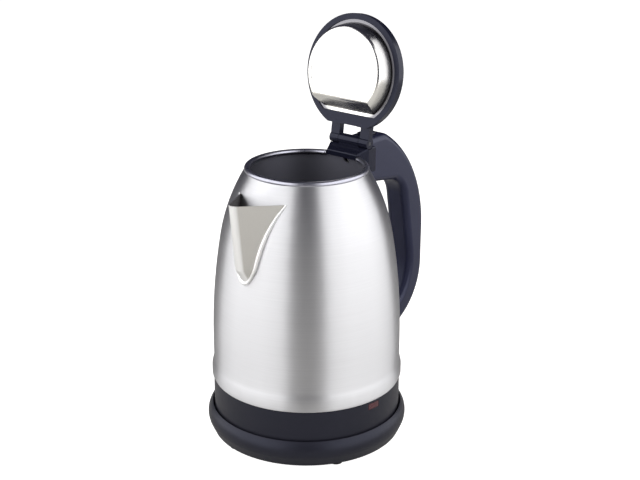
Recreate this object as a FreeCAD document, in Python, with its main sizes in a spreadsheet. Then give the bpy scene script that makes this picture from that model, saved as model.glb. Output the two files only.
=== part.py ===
# Cordless electric kettle of brushed steel on a round power base, with its lid standing open.
# Frame: origin on the table under the middle of the base, +Z up, spout along -X, handle along +X.
import FreeCAD, Part
import math
import os
import Sketcher
from types import SimpleNamespace

# Driving dimensions: millimetres, degrees for names that end in angle, and counts
SIZES = {
    # Fits
    "seat_gap": 0.2,
    "running_gap": 0.4,
    "pin_gap": 0.05,
    "weld_gap": 0.1,
    "cut_margin": 1.0,
    # Steel body, from the foot up
    "wall": 0.8,
    "wall_radius": 74.4,
    "bead_proud": 1.6,
    "bead_curl_width": 1.2,
    "bead_curl_height": 2.5,
    "bead_height": 6.5,
    "bead_blend_height": 7.0,
    "wall_straight_height": 17.0,
    "wall_lean": 7.4,
    "wall_lean_height": 85.0,
    "shoulder_height": 53.6,
    "rim_inner_radius": 44.5,
    "rim_thickness": 1.9,
    # Power base
    "base_lift": 2.5,
    "well_floor_rise": 14.5,
    "well_floor_thickness": 2.0,
    "well_depth": 6.0,
    "well_clearance": 0.9,
    "base_rim_width": 3.4,
    "base_lip_width": 1.1,
    "base_lip_rounding": 0.5,
    "base_tuck": 2.9,
    "base_belly_rise": 6.5,
    "base_step": 0.7,
    "cover_thickness": 2.5,
    "cover_ring_radius": 13.0,
    "cover_ring_wall": 2.0,
    "cord_notch_width": 8.0,
    "cord_notch_height": 8.5,
    "cord_notch_corner": 3.0,
    "foot_radius": 5.0,
    "foot_height": 4.0,
    "foot_edge": 0.7,
    "foot_count": 5,
    "foot_turn_angle": 24.0,
    "base_screw_ring": 52.0,
    "base_screw_count": 3,
    "screw_head_radius": 3.0,
    "screw_head_height": 1.8,
    "screw_radius": 1.5,
    "screw_length": 8.0,
    "boss_wall": 2.2,
    # Cordless connector
    "post_radius": 14.5,
    "post_rise": 16.0,
    "post_rounding": 1.0,
    "post_flange_width": 5.5,
    "post_flange_thickness": 2.5,
    "post_stub": 3.5,
    "slot_depth": 13.0,
    "slot_clearance": 0.8,
    "slot_inner_clearance": 0.6,
    "contact_pin_radius": 2.0,
    "contact_ring_radius": 8.0,
    "contact_thickness": 0.8,
    "contact_reach": 10.0,
    "shutter_width": 5.6,
    "shutter_thickness": 2.6,
    "socket_clearance": 0.7,
    "socket_wall": 3.8,
    "socket_headroom": 5.0,
    "control_flange_width": 7.5,
    "control_thickness": 8.0,
    "control_flange_thickness": 4.0,
    "control_screw_ring": 22.4,
    "control_screw_count": 3,
    "bimetal_radius": 10.0,
    "bimetal_thickness": 0.7,
    # Skirt and heater
    "skirt_proud": 0.4,
    "skirt_height": 29.4,
    "skirt_wall": 3.0,
    "skirt_toe": 1.2,
    "spigot_height": 10.0,
    "skirt_floor_thickness": 2.0,
    "skirt_screw_ring": 67.7,
    "skirt_screw_count": 3,
    "skirt_boss_height": 12.0,
    "skirt_boss_extra": 1.0,
    "floor_drop": 4.2,
    "floor_plate_thickness": 0.8,
    "floor_plate_corner": 2.2,
    "floor_plate_edge": 5.0,
    "heat_plate_radius": 48.0,
    "heat_plate_thickness": 4.0,
    "element_ring_radius": 38.0,
    "element_radius": 3.2,
    "element_angle": 300.0,
    "lens_angle": 8.4,
    "lens_height": 4.8,
    "lens_drop": 1.8,
    "lens_flange": 1.2,
    "lens_flange_angle": 11.0,
    "lens_turn_angle": 5.3,
    "lamp_radius": 2.2,
    "lamp_length": 11.0,
    "lamp_rounding": 1.8,
    # Spout and strainer
    "spout_half_angle": 31.0,
    "spout_tip_reach": 36.9,
    "spout_tip_drop": 11.6,
    "spout_foot_drop": 10.0,
    "spout_foot_reach": 10.4,
    "spout_nose_radius": 5.0,
    "spout_toe_height": 14.0,
    "spout_toe_reach": 2.0,
    "spout_sheet": 0.8,
    "spout_top_angle": 5.0,
    "pour_top_half_width": 14.0,
    "pour_foot_half_width": 3.0,
    "pour_top_drop": 22.6,
    "pour_height": 30.0,
    "strainer_angle": 34.0,
    "strainer_thickness": 1.0,
    "strainer_height": 40.0,
    "strainer_hole_radius": 1.5,
    "strainer_hole_pitch": 5.0,
    "strainer_columns": 5,
    "strainer_rows": 7,
    # Lid hinge
    "pivot_set_back": 7.3,
    "pivot_rise": 8.75,
    "pin_radius": 1.5,
    "arm_inner_half": 10.4,
    "arm_width": 8.6,
    "arm_half_thickness": 2.6,
    "arm_root_inset": 6.0,
    "knuckle_radius": 4.2,
    "barrel_radius": 4.2,
    "web_half_thickness": 3.2,
    "block_lip": 3.0,
    "block_lip_depth": 2.8,
    "block_depth": 14.5,
    "block_rear_reach": 7.3,
    "block_top_drop": 3.0,
    "block_side": 0.4,
    "block_front_half": 15.0,
    "block_nose_rise": 1.3,
    "block_slope": 10.5,
    "block_rounding": 1.2,
    "rim_slot_gap": 0.35,
    "spring_bore_radius": 3.2,
    "spring_bore_half": 7.0,
    "lid_spring_radius": 2.4,
    "lid_spring_wire_radius": 0.45,
    "lid_spring_pitch": 2.0,
    "lid_spring_turns": 6,
    # Lid, drawn shut with heights measured from the pivot
    "lid_open_angle": 98.2,
    "lid_gap": 1.05,
    "lid_set_in": 0.9,
    "lid_rim_width": 4.5,
    "lid_rim_rounding": 2.6,
    "lid_ledge_width": 2.4,
    "lid_ledge_rise": 1.7,
    "lid_deck_thickness": 2.2,
    "lid_top_width": 3.4,
    "lid_plate_recess": 1.0,
    "lid_plate_thickness": 0.8,
    "lid_plate_crown": 1.6,
    "lid_window_inset": 4.6,
    "lid_relief": 2.6,
    "pan_sheet": 0.8,
    "pan_depth": 14.4,
    "pan_mouth_inset": 1.8,
    "pan_side_inset": 5.2,
    "pan_chord_gap": 9.5,
    "pan_flange_width": 2.0,
    "pan_side_lean": 9.5,
    "pan_rounding": 4.0,
    "pan_panel_inset": 4.6,
    "pan_panel_depth": 0.35,
    # Handle
    "handle_half_width": 11.5,
    "handle_rounding": 5.0,
    "handle_top_rise": 0.9,
    "neck_root_reach": 6.7,
    "grip_stand_off": 66.2,
    "grip_top_radius": 104.5,
    "grip_drop": 90.6,
    "grip_low_rise": 29.8,
    "grip_low_radius": 55.0,
    "crest_radius": 12.0,
    "leg_angle": 33.7,
    "finger_foot_inset": 38.1,
    "finger_foot_drop": 4.6,
    "finger_low_radius": 46.0,
    "finger_low_angle": 66.0,
    "finger_straight": 52.0,
    "finger_high_radius": 24.0,
    "finger_high_angle": 47.0,
    "hook_radius": 12.0,
    "hook_angle": 25.0,
    "grip_cover_depth": 2.2,
    "grip_cover_half_width": 5.8,
    "handle_screw_set_back": 11.0,
    "handle_screw_depth": 4.0,
    "handle_low_screw_drop": 4.3,
    "bracket_drop": 1.4,
    "bracket_thickness": 1.6,
    "bracket_half_width": 6.0,
    "bracket_reach": 17.0,
    # Steam tube in the handle
    "steam_radius": 3.4,
    "steam_bore_radius": 2.6,
    "steam_drop": 15.3,
    "steam_turn_set_back": 10.8,
    "steam_high_inset": 13.4,
    "steam_high_rise": 35.0,
    "steam_mid_inset": 7.9,
    "steam_mid_drop": 14.0,
    "steam_low_inset": 31.1,
    "steam_low_drop": 11.9,
    "steam_end_inset": 48.4,
    "steam_end_drop": 24.6,
    # Lid button on top of the handle
    "button_set_back": 4.8,
    "button_length": 14.0,
    "button_half_width": 5.6,
    "button_corner": 3.0,
    "button_proud": 2.0,
    "button_sink": 5.0,
    "button_pocket_depth": 9.5,
    "button_crown": 1.2,
    "button_bore_radius": 4.2,
    "button_bore_ceiling": 2.2,
    "button_spring_radius": 3.0,
    "button_spring_wire_radius": 0.4,
    "button_spring_turns": 4,
    # Switch under the handle
    "switch_inset": 5.6,
    "switch_rise": 11.6,
    "switch_hub_radius": 4.0,
    "switch_half_thickness": 2.5,
    "switch_half_width": 8.0,
    "switch_reach": 21.4,
    "switch_ear_width": 3.0,
    "switch_ear_half_height": 4.5,
    "switch_slot_margin": 1.4,
}

TANGENT = "tangent"

doc = FreeCAD.newDocument("Kettle")
parts = []


class Size:
    """A dimension that carries its sheet expression along with its value."""

    def __init__(self, value, text):
        self.value = value
        self.text = text

    def __add__(self, other):
        return Size(self.value + number(other), "(%s + %s)" % (self.text, words(other)))

    def __radd__(self, other):
        return self + other

    def __sub__(self, other):
        return Size(self.value - number(other), "(%s - %s)" % (self.text, words(other)))

    def __rsub__(self, other):
        return Size(number(other) - self.value, "(%s - %s)" % (words(other), self.text))

    def __mul__(self, other):
        return Size(self.value * number(other), "(%s * %s)" % (self.text, words(other)))

    def __rmul__(self, other):
        return self * other

    def __truediv__(self, other):
        return Size(self.value / number(other), "(%s / %s)" % (self.text, words(other)))

    def __neg__(self):
        return Size(-self.value, "(0 - %s)" % self.text)


def number(size):
    return size.value if isinstance(size, Size) else float(size)


def words(size):
    return size.text if isinstance(size, Size) else repr(float(size))


def sine(angle):
    return Size(math.sin(math.radians(angle.value)), "sin(%s * 1 deg)" % angle.text)


def cosine(angle):
    return Size(math.cos(math.radians(angle.value)), "cos(%s * 1 deg)" % angle.text)


def tangent(angle):
    return Size(math.tan(math.radians(angle.value)), "tan(%s * 1 deg)" % angle.text)


def root(square):
    return Size(math.sqrt(square.value), "sqrt(%s)" % square.text)


def leg(long_side, short_side):
    """The other short side of a right triangle."""
    return root(long_side * long_side - short_side * short_side)


def make_sheet():
    """Writes every driving dimension to the sheet and hands them back as sizes."""
    sheet = doc.addObject("Spreadsheet::Sheet", "Sizes")
    for row, (name, value) in enumerate(SIZES.items(), start=1):
        sheet.set("A%d" % row, name)
        sheet.set("B%d" % row, str(value))
        sheet.setAlias("B%d" % row, name)
    doc.recompute()
    return SimpleNamespace(**{name: Size(float(value), "Sizes." + name) for name, value in SIZES.items()})


s = make_sheet()


# Sketches and features, each bound to the sheet
def new_body(label):
    body = doc.addObject("PartDesign::Body", label)
    body.Label = label
    parts.append(body)
    return body


def origin_feature(body, role):
    return next(feature for feature in body.Origin.OriginFeatures if feature.Role == role)


def new_sketch(body, plane, lift):
    sketch = body.newObject("Sketcher::SketchObject", body.Label + "_outline")
    sketch.AttachmentSupport = [(origin_feature(body, plane), "")]
    sketch.MapMode = "FlatFace"
    if lift is not None:
        sketch.setExpression("AttachmentOffset.Base.z", words(lift))
    return sketch


def fix(sketch, constraint, size):
    place = sketch.addConstraint(constraint)
    if isinstance(size, Size):
        sketch.setExpression("Constraints[%d]" % place, size.text)


def fix_point(sketch, edge, end, point):
    fix(sketch, Sketcher.Constraint("DistanceX", edge, end, number(point[0])), point[0])
    fix(sketch, Sketcher.Constraint("DistanceY", edge, end, number(point[1])), point[1])


def add_edge(sketch, start, end, bend, heading):
    """Adds a line, or an arc that leaves along heading or has a radius, positive where it turns left.

    Gives back which end of the new edge is its start, and the heading at its end.
    """
    chord = end - start
    along = math.atan2(chord.y, chord.x)
    if bend is None:
        sketch.addGeometry(Part.LineSegment(start, end), False)
        return 1, along
    if bend == TANGENT:
        half_turn = math.remainder(along - heading, math.tau)
    else:
        half_turn = math.asin(max(-1.0, min(1.0, chord.Length / (2 * number(bend)))))
    side = FreeCAD.Vector(chord.y, -chord.x, 0)
    middle = (start + end) * 0.5 + side * (math.tan(half_turn / 2) / 2)
    if half_turn > 0:
        sketch.addGeometry(Part.Arc(start, middle, end), False)
        return 1, along + half_turn
    sketch.addGeometry(Part.Arc(end, middle, start), False)
    return 2, along + half_turn


def chain(sketch, points, closed):
    """Joins points into one line of edges.

    A point is (x, y), or (x, y, bend) where the edge that ends there is an arc: bend is TANGENT for one
    that leaves the edge before it smoothly, or the arc's radius.
    """
    corners = [FreeCAD.Vector(number(point[0]), number(point[1]), 0) for point in points]
    bends = [point[2] if len(point) > 2 else None for point in points]
    total = len(points)
    count = total if closed else total - 1
    starts = []
    heading = None
    for edge in range(count):
        after = (edge + 1) % total
        start_end, heading = add_edge(sketch, corners[edge], corners[after], bends[after], heading)
        starts.append(start_end)
    for edge in range(count):
        before = (edge - 1) % count
        if closed or edge > 0:
            smooth = bends[(edge + 1) % total] == TANGENT
            kind = "Tangent" if smooth else "Coincident"
            sketch.addConstraint(Sketcher.Constraint(kind, before, 3 - starts[before], edge, starts[edge]))
        fix_point(sketch, edge, starts[edge], points[edge])
        bend = bends[(edge + 1) % total]
        if bend is not None and bend != TANGENT:
            radius = bend if number(bend) > 0 else -1 * bend
            fix(sketch, Sketcher.Constraint("Radius", edge, number(radius)), radius)
    if not closed:
        fix_point(sketch, count - 1, 3 - starts[-1], points[-1])


def outline(body, plane, points, lift=None):
    sketch = new_sketch(body, plane, lift)
    chain(sketch, points, True)
    return sketch


def circles(body, plane, rounds, lift=None):
    """A sketch of circles, each given as (x, y, radius)."""
    sketch = new_sketch(body, plane, lift)
    for index, (x, y, radius) in enumerate(rounds):
        centre = FreeCAD.Vector(number(x), number(y), 0)
        sketch.addGeometry(Part.Circle(centre, FreeCAD.Vector(0, 0, 1), number(radius)), False)
        fix_point(sketch, index, 3, (x, y))
        fix(sketch, Sketcher.Constraint("Radius", index, number(radius)), radius)
    return sketch


def turned(body, kind, points, angle=None, plane="XZ_Plane", symmetric=False, turn=None):
    """A full or part turn about the Z axis; turn swings the sketch itself about that axis first."""
    sketch = outline(body, plane, points)
    if turn is not None:
        sketch.AttachmentOffset = FreeCAD.Placement(FreeCAD.Vector(0, 0, 0), FreeCAD.Rotation(FreeCAD.Vector(0, 1, 0), 1))
        sketch.setExpression("AttachmentOffset.Rotation.Angle", words(turn))
    feature = body.newObject("PartDesign::" + kind, body.Label + "_" + kind.lower())
    feature.Profile = sketch
    feature.ReferenceAxis = (sketch, ["V_Axis"])
    feature.Angle = 360
    if angle is not None:
        feature.setExpression("Angle", words(angle))
    feature.Midplane = symmetric
    return feature


def revolve(body, points, **settings):
    return turned(body, "Revolution", points, **settings)


def groove(body, points, **settings):
    return turned(body, "Groove", points, **settings)


def pad(body, sketch, length, symmetric=False, backward=False):
    feature = body.newObject("PartDesign::Pad", body.Label + "_pad")
    feature.Profile = sketch
    feature.setExpression("Length", words(length))
    feature.SideType = "Symmetric" if symmetric else "One side"
    feature.Reversed = backward
    return feature


def pocket(body, sketch, length=None, symmetric=False, forward=False):
    feature = body.newObject("PartDesign::Pocket", body.Label + "_pocket")
    feature.Profile = sketch
    if length is None:
        feature.Type = "ThroughAll"
    else:
        feature.setExpression("Length", words(length))
    feature.SideType = "Symmetric" if symmetric else "One side"
    feature.Reversed = forward
    return feature


def loft(body, kind, sections):
    feature = body.newObject("PartDesign::" + kind, body.Label + "_loft")
    feature.Profile = sections[0]
    feature.Sections = sections[1:]
    feature.Ruled = True
    return feature


def pipe(body, kind, section, spine):
    feature = body.newObject("PartDesign::" + kind, body.Label + "_pipe")
    feature.Profile = section
    feature.Spine = spine
    return feature


def around(body, features, count):
    """Repeats features evenly round the body's own Z axis."""
    pattern = body.newObject("PartDesign::PolarPattern", body.Label + "_ring")
    pattern.Originals = features
    pattern.Axis = (origin_feature(body, "Z_Axis"), [""])
    pattern.Angle = 360
    pattern.setExpression("Occurrences", words(count))
    body.Tip = pattern
    return pattern


def round_edges(body, radius, chosen):
    """Fillets the edges of the body that a test picks."""
    doc.recompute()
    base = body.Tip
    names = ["Edge%d" % place for place, edge in enumerate(base.Shape.Edges, start=1) if chosen(edge)]
    fillet = body.newObject("PartDesign::Fillet", body.Label + "_fillet")
    fillet.Base = (base, names)
    fillet.setExpression("Radius", words(radius))
    return fillet


def coil(body, radius, wire_radius, pitch, turns):
    """A helical spring up the body's own Z axis, starting one wire radius above its origin."""
    helix = body.newObject("PartDesign::AdditiveHelix", body.Label + "_helix")
    sketch = circles(body, "XZ_Plane", [(radius, wire_radius, wire_radius)])
    helix.Profile = sketch
    helix.ReferenceAxis = (sketch, ["V_Axis"])
    helix.Mode = "pitch-turns-angle"
    helix.setExpression("Pitch", words(pitch))
    helix.setExpression("Turns", words(turns))
    return helix


def box(x_low, x_high, y_low, y_high):
    return [(x_low, y_low), (x_high, y_low), (x_high, y_high), (x_low, y_high)]


def rounded_box(x_low, x_high, y_low, y_high, corner):
    return [
        (x_low + corner, y_low),
        (x_high - corner, y_low),
        (x_high, y_low + corner, TANGENT),
        (x_high, y_high - corner),
        (x_high - corner, y_high, TANGENT),
        (x_low + corner, y_high),
        (x_low, y_high - corner, TANGENT),
        (x_low, y_low + corner),
    ]


def place(body, x, z, angle=None):
    body.Placement = FreeCAD.Placement(FreeCAD.Vector(0, 0, 0), FreeCAD.Rotation(FreeCAD.Vector(0, 1, 0), 1))
    body.setExpression("Placement.Base.x", words(x))
    body.setExpression("Placement.Base.z", words(z))
    body.setExpression("Placement.Rotation.Angle", words(angle if angle is not None else 0))


# Levels up the axis that several pieces share
base_low = s.base_lift
well_floor = base_low + s.well_floor_rise
well_ceiling = well_floor - s.well_floor_thickness
base_top = well_floor + s.well_depth
skirt_low = well_floor + s.running_gap
skirt_shoulder = skirt_low + s.skirt_height
steel_low = skirt_shoulder + s.seat_gap
bead_low = steel_low + s.bead_curl_height
bead_high = bead_low + s.bead_height
wall_low = bead_high + s.bead_blend_height
wall_straight_top = wall_low + s.wall_straight_height
wall_knee = wall_straight_top + s.wall_lean_height
rim_low = wall_knee + s.shoulder_height
rim_top = rim_low + s.rim_thickness / 2
cover_top = base_low + s.cover_thickness
post_top = well_floor + s.post_rise
post_foot = well_ceiling - s.post_flange_thickness - s.post_stub
slot_floor = post_top - s.slot_depth
shutter_top = well_floor + s.running_gap + s.shutter_thickness
socket_low = shutter_top + s.running_gap
socket_ceiling = post_top + s.socket_headroom
control_top = socket_ceiling + s.control_thickness
skirt_floor_low = socket_low + s.seat_gap
skirt_floor_top = skirt_floor_low + s.skirt_floor_thickness
floor_low = wall_low - s.floor_drop
heat_plate_low = floor_low - s.heat_plate_thickness
pivot_z = rim_top + s.pivot_rise
block_top = pivot_z - s.block_top_drop
block_low = rim_top - s.block_depth
handle_top = pivot_z + s.handle_top_rise
grip_mid = pivot_z - s.grip_drop
grip_low = skirt_shoulder + s.grip_low_rise
switch_z = skirt_low + s.switch_rise

# Radii and distances from the axis that several pieces share
bead_radius = s.wall_radius + s.bead_proud
wall_inner = s.wall_radius - s.wall
knee_radius = s.wall_radius - s.wall_lean
rim_outer = s.rim_inner_radius + s.rim_thickness
skirt_radius = s.wall_radius + s.skirt_proud
skirt_inner = skirt_radius - s.skirt_wall
well_radius = skirt_radius + s.well_clearance
base_radius = well_radius + s.base_rim_width
base_inner = well_radius - s.base_step
cover_radius = base_inner - s.seat_gap
foot_ring = cover_radius - s.foot_radius - s.foot_edge
base_foot_x = foot_ring * cosine(s.foot_turn_angle)
base_foot_y = foot_ring * sine(s.foot_turn_angle)
shutter_inner = s.post_radius + s.running_gap
shutter_outer = shutter_inner + s.shutter_width
socket_inner = s.post_radius + s.socket_clearance
socket_outer = socket_inner + s.socket_wall
ring_contact_outer = s.contact_ring_radius + s.contact_thickness
ring_sleeve_inner = ring_contact_outer + s.slot_clearance
ring_sleeve_outer = ring_sleeve_inner + s.contact_thickness
pin_sleeve_inner = s.contact_pin_radius + s.slot_clearance
pin_sleeve_outer = pin_sleeve_inner + s.contact_thickness
screw_hole = s.screw_radius + s.seat_gap
boss_radius = s.screw_radius + s.boss_wall
pivot_x = rim_outer + s.pivot_set_back
arm_outer = s.arm_inner_half + s.arm_width
barrel_half = s.arm_inner_half - s.running_gap
block_front = s.rim_inner_radius - s.block_lip
block_rear = pivot_x + s.block_rear_reach
neck_root = rim_outer + s.neck_root_reach
neck_front = block_rear + s.seat_gap
grip_x = s.wall_radius + s.grip_stand_off
switch_x = skirt_radius - s.switch_inset
lid_radius = rim_outer - s.lid_set_in
lens_turn = 0 - s.lens_turn_angle

# Lid levels, measured from the pivot with the lid shut
lid_low = s.lid_gap - s.pivot_rise
lid_ledge = lid_low + s.lid_ledge_rise
lid_deck = 0 - s.lid_plate_recess - s.lid_deck_thickness
pan_flange_radius = lid_radius - s.lid_rim_width - s.seat_gap
pan_flange_chord = block_front - s.pan_chord_gap


def wall_rise(gap):
    """The steel wall's outline from the bead up to the rim, moved out by gap."""
    return [
        (bead_radius + gap, bead_low),
        (bead_radius + gap, bead_high),
        (s.wall_radius + gap, wall_low),
        (s.wall_radius + gap, wall_straight_top),
        (knee_radius + gap, wall_knee, TANGENT),
        (rim_outer + gap, rim_low, TANGENT),
    ]


def inner_rise(gap):
    """The wall's inner outline from the bead up to the neck of the rim, moved in by gap."""
    depth = s.wall + gap
    return wall_rise(0 - depth)[:-1] + [(rim_outer - depth, rim_low - s.rim_thickness, TANGENT)]


def kettle_outline(gap):
    """The whole kettle's section from the skirt to the rim, to trim what is fixed on its outside."""
    return (
        [(0, skirt_low), (skirt_radius + gap, skirt_low), (skirt_radius + gap, steel_low - gap)]
        + [(bead_radius + gap, steel_low - gap)]
        + wall_rise(gap)
        + [(0, rim_low)]
    )


def screws(label, ring, low, count, length):
    """Pan-head screws that point up from a ring of counterbores."""
    body = new_body(label)
    head = pad(body, circles(body, "XY_Plane", [(ring, 0, s.screw_head_radius)], low), s.screw_head_height)
    shank_low = low + s.screw_head_height
    shank = pad(body, circles(body, "XY_Plane", [(ring, 0, s.screw_radius)], shank_low), length)
    around(body, [head, shank], count)
    return body


def screw_holes(body, ring, low, count, length):
    """Clearance holes and counterbores for screws that start at low."""
    head_radius = s.screw_head_radius + s.seat_gap
    head = pocket(body, circles(body, "XY_Plane", [(ring, 0, head_radius)], low), s.screw_head_height, forward=True)
    shank = pocket(body, circles(body, "XY_Plane", [(ring, 0, screw_hole)], low), length, forward=True)
    around(body, [head, shank], count)


# Power base
def make_base_shell():
    body = new_body("base_shell")
    belly = base_low + s.base_belly_rise
    lip_outer = well_radius + s.base_lip_width
    revolve(body, [
        (s.post_radius + s.seat_gap, well_ceiling),
        (base_inner, well_ceiling),
        (base_inner, base_low),
        (base_radius - s.base_tuck, base_low),
        (base_radius, belly),
        (lip_outer, base_top - s.base_lip_rounding, TANGENT),
        (lip_outer - s.base_lip_rounding, base_top),
        (well_radius, base_top - s.base_lip_rounding),
        (well_radius, well_floor),
        (s.post_radius + s.seat_gap, well_floor),
    ])
    boss = pad(body, circles(body, "XY_Plane", [(0 - s.base_screw_ring, 0, boss_radius)], cover_top),
               well_ceiling - cover_top)
    hole = pocket(body, circles(body, "XY_Plane", [(0 - s.base_screw_ring, 0, screw_hole)], cover_top),
                  s.screw_length, forward=True)
    around(body, [boss, hole], s.base_screw_count)
    half = s.cord_notch_width / 2
    notch = rounded_box(0 - half, half, base_low - half, base_low + s.cord_notch_height, s.cord_notch_corner)
    pocket(body, outline(body, "YZ_Plane", notch), forward=True)
    return body


def make_base_bottom_cover():
    body = new_body("base_bottom_cover")
    ring_inner = s.cover_ring_radius - s.cover_ring_wall
    revolve(body, [
        (0, base_low),
        (cover_radius, base_low),
        (cover_radius, cover_top),
        (s.cover_ring_radius, cover_top),
        (s.cover_ring_radius, post_foot),
        (ring_inner, post_foot),
        (ring_inner, cover_top),
        (0, cover_top),
    ])
    recess = pocket(body, circles(body, "XY_Plane", [(base_foot_x, base_foot_y, s.foot_radius + s.seat_gap)], base_low),
                    s.foot_height - s.base_lift, forward=True)
    around(body, [recess], s.foot_count)
    pocket(body, circles(body, "XY_Plane", [(0, 0, s.foot_radius + s.seat_gap)], base_low),
           s.foot_height - s.base_lift, forward=True)
    screw_holes(body, 0 - s.base_screw_ring, base_low, s.base_screw_count, s.cover_thickness)
    return body


def make_base_feet():
    body = new_body("base_feet")
    foot = pad(body, circles(body, "XY_Plane", [(base_foot_x, base_foot_y, s.foot_radius)]), s.foot_height)
    around(body, [foot], s.foot_count)
    pad(body, circles(body, "XY_Plane", [(0, 0, s.foot_radius)]), s.foot_height)
    return body


def make_base_screws():
    return screws("base_screws", 0 - s.base_screw_ring, base_low, s.base_screw_count,
                  s.cover_thickness - s.screw_head_height + s.screw_length - s.seat_gap)


def make_base_connector():
    body = new_body("base_connector")
    flange_low = well_ceiling - s.post_flange_thickness
    flange_radius = s.post_radius + s.post_flange_width
    ring_slot_inner = s.contact_ring_radius - s.slot_inner_clearance
    revolve(body, [
        (0, post_foot),
        (s.post_radius, post_foot),
        (s.post_radius, flange_low),
        (flange_radius, flange_low),
        (flange_radius, well_ceiling),
        (s.post_radius, well_ceiling),
        (s.post_radius, post_top - s.post_rounding),
        (s.post_radius - s.post_rounding, post_top, TANGENT),
        (ring_sleeve_outer + s.seat_gap, post_top),
        (ring_sleeve_outer + s.seat_gap, slot_floor),
        (ring_slot_inner, slot_floor),
        (ring_slot_inner, post_top),
        (pin_sleeve_outer + s.seat_gap, post_top),
        (pin_sleeve_outer + s.seat_gap, slot_floor),
        (0, slot_floor),
    ])
    return body


def tube(label, rings, low, height):
    """Upright sleeves round the axis, each given as (inner radius, outer radius)."""
    body = new_body(label)
    for inner, outer in rings:
        pad(body, circles(body, "XY_Plane", [(0, 0, outer), (0, 0, inner)], low), height)
    return body


def make_base_contacts():
    rings = [(ring_sleeve_inner, ring_sleeve_outer), (pin_sleeve_inner, pin_sleeve_outer)]
    return tube("base_contacts", rings, slot_floor, s.contact_reach)


def make_contact_shutter():
    return tube("contact_shutter", [(shutter_inner, shutter_outer)], well_floor + s.running_gap,
                s.shutter_thickness)


# Steel body and what is fixed inside it
def make_body_shell():
    body = new_body("body_shell")
    lip_outer = bead_radius - s.bead_curl_width
    rim_middle = (rim_outer + s.rim_inner_radius) / 2
    rim_rounding = s.rim_thickness / 2
    revolve(body, [(0, steel_low), (lip_outer, steel_low)] + wall_rise(0) + [
        (rim_middle, rim_top, rim_rounding),
        (s.rim_inner_radius, rim_low, rim_rounding),
        (0, rim_low),
    ])
    groove(body, [(0, skirt_low), (lip_outer - s.wall, skirt_low), (lip_outer - s.wall, steel_low)]
           + inner_rise(0) + [
        (s.rim_inner_radius, rim_low),
        (s.rim_inner_radius, pivot_z),
        (0, pivot_z),
    ])
    pour_top = rim_low - s.pour_top_drop
    pour_foot = pour_top - s.pour_height
    pour = [
        (0 - s.pour_foot_half_width, pour_foot),
        (s.pour_foot_half_width, pour_foot),
        (s.pour_top_half_width, pour_top),
        (0 - s.pour_top_half_width, pour_top),
    ]
    pocket(body, outline(body, "YZ_Plane", pour))
    steam_z = pivot_z - s.steam_drop
    pocket(body, circles(body, "YZ_Plane", [(0, steam_z, s.steam_bore_radius)]), forward=True)
    return body


def spout_section(body, tip_x, inset, level):
    """A level V with a rounded nose, inset by the sheet for the inner face."""
    centre = tip_x + s.spout_nose_radius
    touch_x = centre - (s.spout_nose_radius - inset) * sine(s.spout_half_angle)
    touch_y = (s.spout_nose_radius - inset) * cosine(s.spout_half_angle)
    back_x = 0 - s.rim_inner_radius
    back_y = touch_y + (back_x - touch_x) * tangent(s.spout_half_angle)
    return outline(body, "XY_Plane", [
        (back_x, 0 - back_y),
        (touch_x, 0 - touch_y),
        (touch_x, touch_y, TANGENT),
        (back_x, back_y),
    ], level)


def make_spout():
    body = new_body("spout")
    tip_z = rim_low - s.spout_tip_drop
    foot_z = wall_knee - s.spout_foot_drop
    tip_x = 0 - rim_outer - s.spout_tip_reach
    foot_x = 0 - knee_radius - s.spout_foot_reach
    toe_x = 0 - knee_radius - s.spout_toe_reach
    margin = s.spout_nose_radius
    lean = (tip_x - foot_x) / (tip_z - foot_z)
    for kind, inset in (("AdditiveLoft", 0), ("SubtractiveLoft", s.spout_sheet)):
        loft(body, kind, [
            spout_section(body, tip_x + lean * margin, inset, tip_z + margin),
            spout_section(body, foot_x, inset, foot_z),
            spout_section(body, toe_x, inset, foot_z - s.spout_toe_height),
        ])
    groove(body, [(0, skirt_low)] + [(bead_radius, skirt_low)] + wall_rise(s.weld_gap) + [(0, rim_low)])
    slope = tangent(s.spout_top_angle)
    far_x = tip_x - margin
    near_x = 0 - s.rim_inner_radius + margin
    pocket(body, outline(body, "XZ_Plane", [
        (far_x, tip_z + margin * slope),
        (near_x, tip_z + (tip_x - near_x) * slope),
        (near_x, pivot_z),
        (far_x, pivot_z),
    ]), symmetric=True)
    return body


def make_spout_strainer():
    body = new_body("spout_strainer")
    pour_middle = rim_low - s.pour_top_drop - s.pour_height / 2
    top_z = pour_middle + s.strainer_height / 2
    foot_z = pour_middle - s.strainer_height / 2
    neck = rim_low - s.rim_thickness
    for turn, gap in ((revolve, s.running_gap), (groove, s.running_gap + s.strainer_thickness)):
        rise = [(0 - point[0],) + point[1:] for point in inner_rise(gap)]
        turn(body, [(0, bead_low)] + rise + [(0, neck)], angle=s.strainer_angle, symmetric=True)
    for level, below in ((foot_z, True), (top_z, False)):
        end = bead_low if below else pivot_z
        pocket(body, outline(body, "XZ_Plane", box(0 - bead_radius, 0, level, end)), symmetric=True)
    first_y = s.strainer_hole_pitch * (s.strainer_columns - 1) / 2
    first_z = s.strainer_hole_pitch * (s.strainer_rows - 1) / 2
    hole = pocket(body, circles(body, "YZ_Plane", [
        (0 - first_y, pour_middle - first_z, s.strainer_hole_radius),
    ]))
    grid = body.newObject("PartDesign::LinearPattern", "spout_strainer_grid")
    grid.Originals = [hole]
    grid.Direction = (origin_feature(body, "Y_Axis"), [""])
    grid.Direction2 = (origin_feature(body, "Z_Axis"), [""])
    grid.setExpression("Length", words(first_y * 2))
    grid.setExpression("Length2", words(first_z * 2))
    grid.setExpression("Occurrences", words(s.strainer_columns))
    grid.setExpression("Occurrences2", words(s.strainer_rows))
    body.Tip = grid
    return body


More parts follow.
